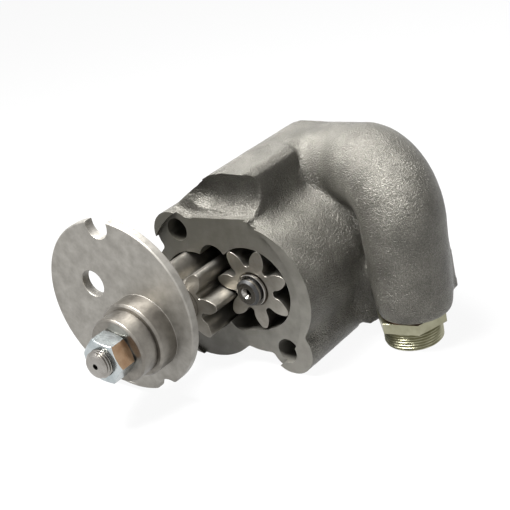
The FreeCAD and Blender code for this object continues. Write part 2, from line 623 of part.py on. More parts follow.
def housing_hollows(rim, body_length):
    """Everything that is bored, cored or machined out of the casting."""
    front = "(%s - %s)" % (rim, OVER)
    bore_length = "(%s + Sizes.recess_depth + %s)" % (CHAMBER_DEPTH, OVER)
    through = "(%s + 2 * %s)" % (body_length, OVER)
    leg_bore = "(Sizes.leg_radius - Sizes.leg_wall)"
    neck_hole = "(Sizes.fitting_neck_radius + Sizes.fit_clearance)"
    neck_depth = "(Sizes.fitting_neck_length + Sizes.neck_end_gap)"
    port_end = "(Sizes.link_y - %s)" % front
    leg_way_top = duct_line()[3].z
    way_radius = size("duct_radius") - size("duct_wall")
    port_floor = [
        ("Sizes.bottom_port_x", "Sizes.bottom_port_z"),
        ("Sizes.port_edge_left_x", "Sizes.port_edge_left_z"),
        ("Sizes.port_edge_right_x", "Sizes.port_edge_right_z"),
        (IDLER_X, IDLER_Z),
    ]
    return [
        cylinder("recess", "Sizes.recess_radius", "(Sizes.recess_depth + %s)" % OVER,
                 RECESS_X, front, RECESS_Z),
        cylinder("drive_chamber", CHAMBER_RADIUS, bore_length, DRIVE_X, front, DRIVE_Z),
        cylinder("idler_chamber", CHAMBER_RADIUS, bore_length, IDLER_X, front, IDLER_Z),
        cylinder("top_port", "Sizes.top_port_radius", port_end,
                 "Sizes.top_port_x", front, "Sizes.top_port_z"),
        cylinder("bottom_port", "Sizes.bottom_port_radius", bore_length,
                 "Sizes.bottom_port_x", front, "Sizes.bottom_port_z"),
        prism("port_floor", port_floor, front, bore_length),
        ball("port_end", "Sizes.top_port_radius",
             "Sizes.top_port_x", "Sizes.link_y", "Sizes.top_port_z"),
        link_way(),
        cylinder("upper_bolt_hole", "Sizes.bolt_hole_radius", through, BOLT_X, front, BOLT_Z),
        cylinder("lower_bolt_hole", "Sizes.bolt_hole_radius", through,
                 "(0 - %s)" % BOLT_X, front, "(0 - %s)" % BOLT_Z),
        cylinder("bush_hole", "(%s + Sizes.fit_clearance)" % BUSH_SIZE,
                 "(Sizes.rear_bush_length + 2 * Sizes.rear_bush_setback)",
                 DRIVE_X, CHAMBER_DEPTH, DRIVE_Z),
        cylinder("pin_hole", "(Sizes.pin_radius + Sizes.fit_clearance)",
                 "(Sizes.pin_seat_depth + Sizes.pin_end_gap)", IDLER_X, CHAMBER_DEPTH, IDLER_Z),
        duct_cone("duct_way", size("duct_start_radius") - size("duct_start_wall"), way_radius),
        bend_way(way_radius),
        cylinder("leg_way", leg_bore,
                 "(%.4f + Sizes.leg_way_reach - Sizes.leg_foot_z - %s)" % (leg_way_top, neck_depth),
                 "Sizes.pipe_x", "Sizes.pipe_y", "(Sizes.leg_foot_z + %s)" % neck_depth, UPRIGHT),
        cylinder("neck_way", neck_hole, "(%s + 2 * %s)" % (neck_depth, OVER),
                 "Sizes.pipe_x", "Sizes.pipe_y", "(Sizes.leg_foot_z - %s)" % OVER, UPRIGHT),
    ]


def make_housing():
    """Cast housing with both gear chambers, bolt lugs, duct, elbow and leg."""
    rim = "(0 - Sizes.recess_depth)"
    body_length = "(%s + Sizes.recess_depth)" % BODY_END
    gear_case = fuse("gear_case", housing_walls(rim, body_length))
    solid = fuse("casting", [gear_case, fuse("elbow", elbow_walls())])
    hollows = fuse("hollows", housing_hollows(rim, body_length))
    return cut("machined_casting", solid, hollows, "housing")


def make_idler_pin():
    """Fixed pin of the idler gear, pressed into the rear wall."""
    length = "(Sizes.pin_standout + %s + Sizes.pin_seat_depth)" % CHAMBER_DEPTH
    groove_start = "(Sizes.shaft_chamfer + Sizes.pin_land)"
    groove_end = "(%s + Sizes.pin_groove_width)" % groove_start
    groove_radius = "(Sizes.pin_radius - Sizes.pin_groove_depth)"
    hole_end = "(Sizes.centre_cone_depth + Sizes.centre_hole_depth)"
    corners = [
        ("0", hole_end),
        ("Sizes.centre_hole_radius", hole_end),
        ("Sizes.centre_hole_radius", "Sizes.centre_cone_depth"),
        ("Sizes.centre_cone_radius", "0"),
        ("(Sizes.pin_radius - Sizes.shaft_chamfer)", "0"),
        ("Sizes.pin_radius", "Sizes.shaft_chamfer"),
        ("Sizes.pin_radius", groove_start),
        (groove_radius, groove_start),
        (groove_radius, groove_end),
        ("Sizes.pin_radius", groove_end),
        ("Sizes.pin_radius", length),
        ("0", length),
    ]
    return turned("idler_shaft", "idler_pin", corners,
                  IDLER_X, "(0 - Sizes.pin_standout)", IDLER_Z)


def make_idler_gear():
    """Idler gear with the bore for its bush."""
    blank = gear("idler_blank", size("idler_tooth_angle"))
    bore = cylinder("idler_bore", "(%s + Sizes.fit_clearance)" % IDLER_BUSH_SIZE,
                    "(Sizes.gear_length + 2 * %s)" % OVER, "0", "(0 - %s)" % OVER, "0")
    wheel = cut("idler_wheel", blank, bore, "idler_gear")
    return place(wheel, IDLER_X, "Sizes.end_clearance", IDLER_Z)


def make_idler_bush():
    """Bronze bush pressed into the idler gear, running on the pin."""
    length = "(Sizes.gear_length - 2 * Sizes.bush_setback)"
    return tube("idler_lining", "idler_bush", IDLER_BUSH_BORE, IDLER_BUSH_SIZE, length,
                IDLER_X, "(Sizes.end_clearance + Sizes.bush_setback)", IDLER_Z)


def make_drive_gear():
    """Drive gear with a keyed bore, its teeth in mesh with those of the idler gear."""
    pitch = 360.0 / size("tooth_count")
    slope = size("axis_slope")
    mesh_angle = slope - (size("idler_tooth_angle") - slope - 180) + pitch / 2
    blank = gear("drive_blank", mesh_angle)
    bore = cylinder("drive_bore", "(Sizes.journal_radius + Sizes.fit_clearance)",
                    "(Sizes.gear_length + 2 * %s)" % OVER, "0", "(0 - %s)" % OVER, "0")
    keyway = DOC.addObject("Part::Box", "drive_keyway")
    bind(keyway, Length="Sizes.drive_key_width", Width="(Sizes.gear_length + 2 * %s)" % OVER,
         Height="(%s + Sizes.key_top_play)" % DRIVE_KEY_TOP)
    place(keyway, "(0 - Sizes.drive_key_width / 2)", "(0 - %s)" % OVER, "0")
    wheel = cut("drive_wheel", blank, fuse("drive_hole", [bore, keyway]), "drive_gear")
    return place(wheel, DRIVE_X, GEAR_FRONT, DRIVE_Z)


def make_drive_gear_key():
    """Flat key that turns the drive gear with its shaft."""
    key = DOC.addObject("Part::Box", "gear_key")
    key.Label = "drive_gear_key"
    play = "2 * Sizes.fit_clearance"
    bind(key, Length="(Sizes.drive_key_width - %s)" % play, Width="Sizes.drive_key_length",
         Height="(Sizes.drive_key_height - %s)" % play)
    return place(key, "(Sizes.drive_x - Sizes.drive_key_width / 2 + Sizes.fit_clearance)",
                 "(%s + (Sizes.gear_length - Sizes.drive_key_length) / 2)" % GEAR_FRONT,
                 "(Sizes.drive_z + %s - Sizes.drive_key_height + Sizes.fit_clearance)"
                 % DRIVE_KEY_TOP)


def make_drive_shaft():
    """Drive shaft: threaded end, seat for the outer gear, journal, keyways and ring groove."""
    thread_end = "(%s - %s + Sizes.thread_runout)" % (SPACER_FRONT, SHAFT_FRONT)
    journal_start = "(%s - Sizes.cover_thickness - Sizes.boss_length - Sizes.journal_lead - %s)"
    journal_start = journal_start % (GEAR_FRONT, SHAFT_FRONT)
    groove_start = "(%s - %s)" % (CIRCLIP_FRONT, SHAFT_FRONT)
    groove_end = "(%s + Sizes.circlip_thickness + Sizes.circlip_play)" % groove_start
    groove_radius = "(Sizes.journal_radius - Sizes.circlip_groove)"
    length = "(%s + Sizes.gear_length + Sizes.tail_length - %s)" % (GEAR_FRONT, SHAFT_FRONT)
    corners = [
        ("0", "Sizes.centre_hole_depth"),
        ("Sizes.centre_hole_radius", "Sizes.centre_hole_depth"),
        ("Sizes.centre_hole_radius", "0"),
        ("(Sizes.thread_radius - Sizes.shaft_chamfer)", "0"),
        ("Sizes.thread_radius", "Sizes.shaft_chamfer"),
        ("Sizes.thread_radius", thread_end),
        ("Sizes.seat_radius", thread_end),
        ("Sizes.seat_radius", journal_start),
        ("Sizes.journal_radius", journal_start),
        ("Sizes.journal_radius", groove_start),
        (groove_radius, groove_start),
        (groove_radius, groove_end),
        ("Sizes.journal_radius", groove_end),
        ("Sizes.journal_radius", "(%s - Sizes.shaft_chamfer)" % length),
        ("(Sizes.journal_radius - Sizes.shaft_chamfer)", length),
        ("0", length),
    ]
    bar = turned("shaft_bar", "shaft_bar", corners, DRIVE_X, SHAFT_FRONT, DRIVE_Z)
    inner_slot = DOC.addObject("Part::Box", "drive_key_slot")
    bind(inner_slot, Length="Sizes.drive_key_width", Width="Sizes.drive_key_length",
         Height="Sizes.drive_key_height")
    place(inner_slot, "(Sizes.drive_x - Sizes.drive_key_width / 2)",
          "(%s + (Sizes.gear_length - Sizes.drive_key_length) / 2)" % GEAR_FRONT,
          "(Sizes.drive_z + %s - Sizes.drive_key_height)" % DRIVE_KEY_TOP)
    outer_slot = DOC.addObject("Part::Box", "outer_key_slot")
    bind(outer_slot, Length="Sizes.outer_key_width", Width="Sizes.outer_key_length",
         Height="(Sizes.outer_key_depth + %s)" % OVER)
    place(outer_slot, "(Sizes.drive_x - Sizes.outer_key_width / 2)",
          "(%s + %s - Sizes.outer_key_setback - Sizes.outer_key_length)"
          % (SHAFT_FRONT, journal_start),
          "(Sizes.drive_z + Sizes.seat_radius - Sizes.outer_key_depth)")
    slots = fuse("key_slots", [inner_slot, outer_slot])
    return cut("keyed_shaft", bar, slots, "drive_shaft")


def make_circlip():
    """Open retaining ring behind the drive gear."""
    inside = "(Sizes.journal_radius - Sizes.circlip_groove + Sizes.fit_clearance)"
    ring = tube("ring_blank", "ring_blank", inside, "(%s + Sizes.circlip_width)" % inside,
                "Sizes.circlip_thickness", DRIVE_X,
                "(%s + Sizes.circlip_play / 2)" % CIRCLIP_FRONT, DRIVE_Z)
    gap = DOC.addObject("Part::Box", "ring_gap")
    bind(gap, Length="Sizes.circlip_gap", Width="(Sizes.circlip_thickness + 2 * %s)" % OVER,
         Height="(Sizes.journal_radius + Sizes.circlip_width)")
    place(gap, "(Sizes.drive_x - Sizes.circlip_gap / 2)", "(%s - %s)" % (CIRCLIP_FRONT, OVER),
          "(Sizes.drive_z - Sizes.journal_radius - Sizes.circlip_width)")
    return cut("open_ring", ring, gap, "gear_circlip")


def make_rear_bush():
    """Bronze bush for the tail of the drive shaft, in the rear wall."""
    return tube("rear_lining", "rear_bush", BUSH_BORE, BUSH_SIZE,
                "Sizes.rear_bush_length",
                DRIVE_X, "(%s + Sizes.rear_bush_setback)" % CHAMBER_DEPTH, DRIVE_Z)


def notch_mouth(x, z, middle_x, middle_z):
    """Corners of the straight part of a notch, from its round end out past the edge."""
    across = "(%s - %s)" % (x, middle_x)
    up = "(%s - %s)" % (z, middle_z)
    share = "(Sizes.cover_notch_radius / sqrt(%s^2 + %s^2))" % (across, up)
    corners = []
    for outward, side in ((0, 1), (1, 1), (1, -1), (0, -1)):
        corners.append(("(%s + %s * %s - (%d) * %s * %s)" % (x, across, outward, side, share, up),
                        "(%s + %s * %s + (%d) * %s * %s)" % (z, up, outward, side, share, across)))
    return corners


def bevel(body, name, width, edges):
    """Chamfer on numbered edges of the body's last feature."""
    base = body.Tip
    feature = body.newObject("PartDesign::Chamfer", name)
    feature.Base = (base, edges)
    bind(feature, Size=width)
    DOC.recompute()
    return feature


def make_cover():
    """Ground cover disc with its boss, drawn seated and then turned and pulled forward.

    Its own origin is on the drive axis, on the face that seats on the housing.
    """
    body = DOC.addObject("PartDesign::Body", "cover_plate")
    body.Label = "cover"
    middle_x = "(Sizes.axis_distance / 2 * cos(Sizes.axis_slope * 1 deg))"
    middle_z = "(Sizes.axis_distance / 2 * sin(Sizes.axis_slope * 1 deg))"
    boss_end = "(Sizes.cover_thickness + Sizes.boss_length)"

    def profile(name, x, z, radius):
        return circle(sketch_on(body, "XZ_Plane", name), x, z, radius)

    def forward_pad(name, sketch, length):
        feature = pad(body, sketch, name, length)
        feature.Reversed = False
        return feature

    forward_pad("disc", profile("disc_circle", middle_x, middle_z, "Sizes.cover_radius"),
                "Sizes.cover_thickness")
    forward_pad("boss", profile("boss_circle", "0", "0", "Sizes.boss_radius"), boss_end)
    pocket(body, profile("bush_circle", "0", "0", "(%s + Sizes.fit_clearance)" % BUSH_SIZE),
           "bush_way")
    pin_x = "(2 * %s)" % middle_x
    pin_z = "(2 * %s)" % middle_z
    pocket(body, profile("pin_circle", pin_x, pin_z,
                         "(Sizes.pin_radius + Sizes.pin_hole_clearance)"), "pin_way")
    pocket(body, profile("bolt_circle", "(%s - Sizes.drive_x)" % BOLT_X,
                         "(%s - Sizes.drive_z)" % BOLT_Z, "Sizes.cover_hole_radius"), "bolt_way")
    notch_x = "(0 - %s - Sizes.drive_x)" % BOLT_X
    notch_z = "(0 - %s - Sizes.drive_z)" % BOLT_Z
    pocket(body, profile("notch_circle", notch_x, notch_z, "Sizes.cover_notch_radius"), "notch")
    mouth = polygon(sketch_on(body, "XZ_Plane", "mouth_outline"),
                    notch_mouth(notch_x, notch_z, middle_x, middle_z))
    pocket(body, mouth, "notch_mouth")
    reach = "(Sizes.cover_radius + Sizes.scallop_radius - Sizes.scallop_depth)"
    pocket(body, profile("scallop_circle",
                         "(%s + %s * cos(Sizes.scallop_angle * 1 deg))" % (middle_x, reach),
                         "(%s + %s * sin(Sizes.scallop_angle * 1 deg))" % (middle_z, reach),
                         "Sizes.scallop_radius"), "scallop")
    DOC.recompute()
    rims = radial_edges(body.Shape, size("cover_radius"))
    bevel(body, "disc_edges", "Sizes.cover_chamfer", rims)
    rims = radial_edges(body.Shape, size("boss_radius"),
                        -size("cover_thickness") - size("boss_length"))
    bevel(body, "boss_edge", "Sizes.boss_chamfer", rims)
    rims = radial_edges(body.Shape, size("pin_radius") + size("pin_hole_clearance"))
    bevel(body, "pin_way_edges", "Sizes.pin_hole_chamfer", rims)
    turn = FreeCAD.Rotation(Vector(0, -1, 0), size("cover_turn"))
    place(body, DRIVE_X, "(0 - Sizes.cover_pull)", DRIVE_Z, turn)
    return bind(body, Placement__Rotation__Angle="Sizes.cover_turn * 1 deg")


def make_cover_bush():
    """Bronze bush in the boss of the cover."""
    length = "(Sizes.cover_thickness + Sizes.boss_length - 2 * Sizes.bush_setback)"
    return tube("cover_lining", "cover_bush", BUSH_BORE, BUSH_SIZE, length, DRIVE_X,
                "(%s + Sizes.bush_setback)" % BOSS_FRONT, DRIVE_Z)


def make_spacer():
    """Spacer sleeve on the drive shaft, clamped by the nut."""
    bore = "(Sizes.seat_radius + Sizes.fit_clearance)"
    corners = [
        (bore, "0"),
        ("(Sizes.spacer_radius - Sizes.spacer_chamfer)", "0"),
        ("Sizes.spacer_radius", "Sizes.spacer_chamfer"),
        ("Sizes.spacer_radius", "Sizes.spacer_length"),
        (bore, "Sizes.spacer_length"),
    ]
    return turned("spacer", "spacer_sleeve", corners, DRIVE_X, SPACER_FRONT, DRIVE_Z)


def hexagon(name, across_flats, height, x, y, z, rotation):
    """Six-sided bar."""
    bar = DOC.addObject("Part::Prism", name)
    bar.Polygon = 6
    bind(bar, Circumradius="(%s / sqrt(3))" % across_flats, Height=height)
    return place(bar, x, y, z, rotation)


def make_nut():
    """Hexagon nut with both faces chamfered round."""
    turn = FreeCAD.Rotation(Vector(0, 1, 0), -size("nut_turn"))
    bar = hexagon("nut_bar", "Sizes.nut_across_flats", "Sizes.nut_height",
                  DRIVE_X, NUT_FRONT, DRIVE_Z, turn.multiply(ALONG_Y))
    corner = "(Sizes.nut_across_flats / sqrt(3))"
    flat = "(Sizes.nut_across_flats / 2 - Sizes.nut_face_inset)"
    drop = "((%s - %s) * tan(30 deg))" % (corner, flat)
    bore = "(Sizes.thread_radius + Sizes.fit_clearance)"
    corners = [
        (bore, "0"),
        (flat, "0"),
        (corner, drop),
        (corner, "(Sizes.nut_height - %s)" % drop),
        (flat, "Sizes.nut_height"),
        (bore, "Sizes.nut_height"),
    ]
    form = turned("nut_form", "nut_form", corners, DRIVE_X, NUT_FRONT, DRIVE_Z)
    nut = DOC.addObject("Part::Common", "chamfered_nut")
    nut.Base = bar
    nut.Tool = form
    nut.Label = "shaft_nut"
    return nut


def make_fitting():
    """Union screwed into the leg: neck, hexagon and outer thread, bored with a sealing cone."""
    hex_foot = "Sizes.fitting_thread_length"
    hex_top = "(%s + Sizes.hex_height)" % hex_foot
    top = "(%s + Sizes.seal_thickness + Sizes.fitting_neck_length)" % hex_top
    neck = "Sizes.fitting_neck_radius"
    corners = [
        ("Sizes.fitting_bore_radius", "Sizes.fitting_cone_depth"),
        ("Sizes.fitting_cone_radius", "0"),
        ("(Sizes.fitting_thread_radius - Sizes.fitting_chamfer)", "0"),
        ("Sizes.fitting_thread_radius", "Sizes.fitting_chamfer"),
        ("Sizes.fitting_thread_radius", hex_foot),
        ("Sizes.hex_core_radius", hex_foot),
        ("Sizes.hex_core_radius", hex_top),
        (neck, hex_top),
        (neck, top),
        ("Sizes.fitting_bore_radius", top),
    ]
    core = turned("fitting_core", "fitting_core", corners,
                  "Sizes.pipe_x", "Sizes.pipe_y", FITTING_FOOT, LYING_TO_UPRIGHT)
    bar = hexagon("fitting_hex", "Sizes.hex_across_flats", "Sizes.hex_height",
                  "Sizes.pipe_x", "Sizes.pipe_y", "(%s + %s)" % (FITTING_FOOT, hex_foot),
                  FreeCAD.Rotation(Vector(0, 0, 1), size("hex_turn")))
    way = cylinder("hex_way", neck, "(Sizes.hex_height + 2 * %s)" % OVER, "Sizes.pipe_x",
                   "Sizes.pipe_y", "(%s + %s - %s)" % (FITTING_FOOT, hex_foot, OVER), UPRIGHT)
    ring = cut("hex_ring", bar, way)
    whole = fuse("union", [core, ring])
    whole.Label = "pipe_fitting"
    return whole


def make_seal():
    """Sealing ring between the foot of the leg and the hexagon of the fitting."""
    inside = "(Sizes.fitting_neck_radius + Sizes.seal_play)"
    corners = [
        (inside, "0"),
        ("(%s + Sizes.seal_width)" % inside, "0"),
        ("(%s + Sizes.seal_width)" % inside, "Sizes.seal_thickness"),
        (inside, "Sizes.seal_thickness"),
    ]
    return turned("seal", "fitting_seal", corners, "Sizes.pipe_x", "Sizes.pipe_y",
                  "(Sizes.leg_foot_z - Sizes.seal_thickness)", LYING_TO_UPRIGHT)


def main():
    """Make every piece, check the whole document and write one file for each piece."""
    pieces = [
        make_housing(),
        make_idler_pin(),
        make_idler_gear(),
        make_idler_bush(),
        make_drive_gear(),
        make_drive_gear_key(),
        make_drive_shaft(),
        make_circlip(),
        make_rear_bush(),
        make_cover(),
        make_cover_bush(),
        make_spacer(),
        make_nut(),
        make_fitting(),
        make_seal(),
    ]
    DOC.recompute()
    for thing in DOC.Objects:
        if "Invalid" in thing.State or "Error" in thing.State:
            raise RuntimeError("%s could not be made" % thing.Label)
    os.makedirs("parts", exist_ok=True)
    for piece in pieces:
        shape = piece.Shape
        if shape.isNull() or not shape.isValid():
            raise RuntimeError("%s has no valid shape" % piece.Label)
        solids = len(shape.Solids)
        print("%-16s solids %d volume %9.1f" % (piece.Label, solids, shape.Volume))
        shape.exportStep("parts/%s.step" % piece.Label)


main()
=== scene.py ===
"""Looks of the engine oil pump: casting with fillets, threads, materials, light and camera.

Sizes are in millimetres in the frame of the part and become metres as each mesh is made.
The frame has its origin between the two mounting holes, +Y into the housing and +Z up.
"""
import math

import bmesh
import bpy
import numpy
from mathutils import Matrix, Vector, noise


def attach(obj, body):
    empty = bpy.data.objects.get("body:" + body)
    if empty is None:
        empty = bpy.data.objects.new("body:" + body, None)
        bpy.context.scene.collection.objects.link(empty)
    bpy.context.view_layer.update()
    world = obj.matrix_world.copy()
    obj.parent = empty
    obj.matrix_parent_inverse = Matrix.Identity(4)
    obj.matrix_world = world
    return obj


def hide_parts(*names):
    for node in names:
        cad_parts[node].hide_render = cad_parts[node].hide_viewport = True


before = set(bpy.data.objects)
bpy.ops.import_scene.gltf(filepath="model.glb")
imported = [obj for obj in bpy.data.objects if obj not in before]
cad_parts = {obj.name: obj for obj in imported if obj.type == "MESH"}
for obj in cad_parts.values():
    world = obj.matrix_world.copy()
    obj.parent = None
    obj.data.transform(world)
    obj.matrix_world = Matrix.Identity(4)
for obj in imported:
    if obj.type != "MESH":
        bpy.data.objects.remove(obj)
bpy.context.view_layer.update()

MM = 0.001

# Driving sizes: axes and bolts are places in X and Z, the pipe's axis is a place in X and Y
DRIVE = (-21.9, -4.1)
AXIS_DISTANCE = 36.0
AXIS_SLOPE = math.radians(10.2)
IDLER = (DRIVE[0] + AXIS_DISTANCE * math.cos(AXIS_SLOPE),
         DRIVE[1] + AXIS_DISTANCE * math.sin(AXIS_SLOPE))
RECESS = ((DRIVE[0] + IDLER[0]) / 2, (DRIVE[1] + IDLER[1]) / 2)
BOLT_ANGLE = math.radians(133.8)
BOLT_REACH = 40.75
BOLT = (BOLT_REACH * math.cos(BOLT_ANGLE), BOLT_REACH * math.sin(BOLT_ANGLE))
PIPE = (69.6, 48.5)
RIM_Y = -1.86
BODY_END = 48.1
CHAMBER_END = 36.1
FLOOR_Z = -41.25
TEETH = 7
ROUND_STEPS = 96

# Outline of the duct block's roof in X and Z, from the foot of its right wall to the shoulder
BLOCK_TOP = [(20.5, 34), (20.5, 57.8), (17.2, 60.8), (0, 60.2), (-4.5, 58.8), (-9.5, 56.1),
             (-17.6, 50.1)]

# Camera of the photograph, found from the outlines of the gears and of the cover
CAMERA_PLACE = Vector((377.54, -404.45, 260.92)) * MM
CAMERA_RIGHT = Vector((0.787, 0.5893, -0.1827)).normalized()
CAMERA_LOOK = Vector((-0.6064, 0.6841, -0.4053)).normalized()
CAMERA_LENS = 87.56


# Meshes

def new_object(name, mesh):
    """Object for a mesh, in the scene."""
    thing = bpy.data.objects.new(name, mesh)
    bpy.context.scene.collection.objects.link(thing)
    return thing


def mesh_object(name, solids):
    """One object of closed solids, each a pair of points in millimetres and faces."""
    points = []
    faces = []
    for solid_points, solid_faces in solids:
        start = len(points)
        points += [tuple(Vector(point) * MM) for point in solid_points]
        faces += [[start + number for number in face] for face in solid_faces]
    mesh = bpy.data.meshes.new(name)
    mesh.from_pydata(points, [], faces)
    mesh.update()
    work = bmesh.new()
    work.from_mesh(mesh)
    bmesh.ops.recalc_face_normals(work, faces=work.faces)
    work.to_mesh(mesh)
    work.free()
    return new_object(name, mesh)


def block(outline, front, back):
    """Solid between Y = front and Y = back; the outline is a list of (X, Z)."""
    count = len(outline)
    points = [(x, front, z) for x, z in outline]
    points += [(x, back, z) for x, z in outline]
    faces = [list(range(count)), list(range(2 * count - 1, count - 1, -1))]
    for number in range(count):
        after = (number + 1) % count
        faces.append([number, number + count, after + count, after])
    return points, faces


def arc(centre, radius, start, end, steps):
    """Points of an arc in X and Z; angles in degrees."""
    points = []
    for step in range(steps + 1):
        turn = math.radians(start + (end - start) * step / steps)
        points.append((centre[0] + radius * math.cos(turn), centre[1] + radius * math.sin(turn)))
    return points


def disc(centre, radius, steps):
    """Outline of a circle in X and Z."""
    return arc(centre, radius, 0, 360, steps)[:-1]


def drum(centre, radius, front, back, steps=128):
    """Round solid along Y."""
    return block(disc(centre, radius, steps), front, back)


def hose(line, radii):
    """Round solid along a line of points, with a radius at each."""
    steps = ROUND_STEPS
    rings = []
    for number, point in enumerate(line):
        before = Vector(line[max(number - 1, 0)])
        after = Vector(line[min(number + 1, len(line) - 1)])
        along = (after - before).normalized()
        across = along.cross(Vector((0, 1, 0))).normalized()
        up = across.cross(along)
        ring = []
        for step in range(steps):
            turn = 2 * math.pi * step / steps
            offset = across * math.cos(turn) + up * math.sin(turn)
            ring.append(tuple(Vector(point) + offset * radii[number]))
        rings.append(ring)
    points = [point for ring in rings for point in ring]
    faces = [list(range(steps)), list(range(len(points) - 1, len(points) - steps - 1, -1))]
    for ring in range(len(rings) - 1):
        for step in range(steps):
            after = (step + 1) % steps
            low = ring * steps
            faces.append([low + step, low + after, low + steps + after, low + steps + step])
    return points, faces


def apply_modifiers(thing):
    """Turn an object's modifiers into its mesh."""
    graph = bpy.context.evaluated_depsgraph_get()
    mesh = bpy.data.meshes.new_from_object(thing.evaluated_get(graph))
    thing.modifiers.clear()
    thing.data = mesh


def smooth_shading(thing, angle):
    """Smooth shading with sharp edges above an angle in degrees."""
    thing.data.shade_smooth()
    thing.data.set_sharp_from_angle(angle=math.radians(angle))


# Casting

def elbow_line():
    """Centre line and radii of the duct, its bend, the leg and the rounded foot of the leg."""
    start = Vector((2.0, 78.5, 40.5))
    corner = Vector((PIPE[0] + 3.0, PIPE[1], 48.8))
    bend_radius = 22.2
    start_radius = 17.0
    duct_radius = 21.0
    leg_radius = 19.8
    foot_radius = 17.0
    foot_z = -24.6
    round_top = -12.0
    bend_steps = 16
    foot_steps = 6
    along = (start - corner).normalized()
    down = Vector((0, 0, -1))
    half = along.angle(down) / 2
    reach = bend_radius / math.tan(half)
    pivot = corner + (along + down).normalized() * (bend_radius / math.sin(half))
    first = corner + along * reach
    last = corner + down * reach
    line = [start, first]
    radii = [start_radius, duct_radius]
    axis = (first - pivot).cross(last - pivot)
    sweep = (first - pivot).angle(last - pivot)
    for step in range(1, bend_steps + 1):
        turn = Matrix.Rotation(sweep * step / bend_steps, 3, axis)
        line.append(pivot + turn @ (first - pivot))
        radii.append(duct_radius)
    line.append(Vector((last.x, last.y, round_top)))
    radii.append(leg_radius)
    for step in range(1, foot_steps + 1):
        turn = math.pi / 2 * step / foot_steps
        line.append(Vector((last.x, last.y, round_top + (foot_z - round_top) * math.sin(turn))))
        radii.append(foot_radius + (leg_radius - foot_radius) * math.cos(turn))
    return line, radii


def block_solid():
    """Front of the duct block: a sloping shoulder, a steep right wall and the hollow in front."""
    front = 4.4
    back = 33.0
    left = -31
    outline = [(left, 34)] + BLOCK_TOP + [(left, 40.5)]
    thing = mesh_object("duct_block", [block(outline, front, back)])
    scoop_line = [(-18, 4.4, 45.6), (-15, 4.0, 46.6), (-9.5, 3.4, 48.0), (-3, 2.6, 49.4),
                  (4, 2.0, 50.4), (30, 1.2, 51.0)]
    scoop_radii = [3.0, 5.4, 7.6, 9.2, 9.8, 10.0]
    carve(thing, [mesh_object("scoop", [hose(scoop_line, scoop_radii)])])
    points = [tuple(point.co / MM) for point in thing.data.vertices]
    faces = [list(face.vertices) for face in thing.data.polygons]
    bpy.data.objects.remove(thing)
    return points, faces


def casting_solids():
    """Overlapping forms of the raw casting."""
    front = RIM_Y - 3
    flange_front = 41.0
    ear = (BOLT[0] - 1.5, BOLT[1] - 2.4)
    ear_radius = 12.8
    ear_back = 34.0
    lug = (-BOLT[0] + 2.6, -BOLT[1] + 1.5)
    lug_radius = 13.3
    lug_back = 44.0
    idler_side_radius = 35.2
    drive_side_radius = 28.5
    lobe_radius = 37.1
    lobe = arc(DRIVE, lobe_radius, -46, -144, 24) + [DRIVE]
    flat = [(ear[0], 37.8), (ear[0] + 11.8, 36.6), (-16, 37.4), (19.8, 39.9), (19.4, 35.0),
            IDLER, DRIVE, ear]
    middle_left = -22.5
    middle_block = [(middle_left, 34)] + BLOCK_TOP + [(middle_left, 46.4)]
    rear_block = [(-23.5, 3.6), (8, 3.6), (8, 49.2), (4, 53.2), (-19.5, 48.2), (-23.5, 44.2)]
    roof = [(-9.5, 40), (17, 40), (17, 57), (13, 60.0), (0.5, 60.0), (-4.5, 58.6), (-9.5, 56.1)]
    neck = [(14, 61.5, 44.0), (34, 62.8, 45.2)]
    neck_radii = [16.0, 18.6]
    shaft_boss_radius = 15.5
    pin_boss_radius = 28.0
    pin_boss_back = 62.0
    flange_radius = 36.3
    low = -34
    corner = [(IDLER[0], low), (49.7, low), (49.7, IDLER[1]), IDLER]
    web_foot = -24
    web_top = 30
    web = [(IDLER[0], web_foot), (PIPE[0], web_foot), (PIPE[0], web_top), (IDLER[0], web_top)]
    gusset = [(40, low), (50.5, low), (53, -25), (58, -24), (58, 0), (40, 0)]
    elbow, elbow_radii = elbow_line()
    plate = [(PIPE[0], -19), (87.6, -19), (84.4, 36), (PIPE[0], 36)]
    return [
        drum(IDLER, idler_side_radius, front, BODY_END),
        drum(DRIVE, drive_side_radius, front, BODY_END),
        drum(ear, ear_radius, front, ear_back),
        drum(lug, lug_radius, front, lug_back),
        block(lobe, front, BODY_END),
        block(flat, front, BODY_END),
        block_solid(),
        block(middle_block, 30.0, 44.0),
        block(rear_block, 30.0, 93.8),
        block(roof, 40.0, 78.0),
        hose(neck, neck_radii),
        drum(DRIVE, shaft_boss_radius, BODY_END - 2, BODY_END + 10),
        drum(IDLER, pin_boss_radius, flange_front, pin_boss_back),
        drum(IDLER, flange_radius, flange_front, BODY_END),
        block(corner, flange_front, BODY_END),
        block(web, 50.0, 59.0),
        block(gusset, 45.0, 55.0),
        hose(elbow, elbow_radii),
        block(plate, 61.0, 67.0),
    ]


def cutter(name, solid):
    """Cutting solid whose faces take the machined material."""
    thing = mesh_object(name, [solid])
    for slot_material in (MATERIALS["cast"], MATERIALS["machined"]):
        thing.data.materials.append(slot_material)
    for face in thing.data.polygons:
        face.material_index = 1
    return thing


def carve(thing, cutters):
    """Cut solids out of an object, one after the other."""
    for tool in cutters:
        step = thing.modifiers.new("cut", "BOOLEAN")
        step.operation = "DIFFERENCE"
        step.solver = "MANIFOLD"
        step.object = tool
        apply_modifiers(thing)
        bpy.data.objects.remove(tool)


def read_rows(items, attribute):
    """Vectors of a mesh's points or normals as rows of numbers."""
    values = numpy.empty(len(items) * 3)
    items.foreach_get(attribute, values)
    return values.reshape(-1, 3)


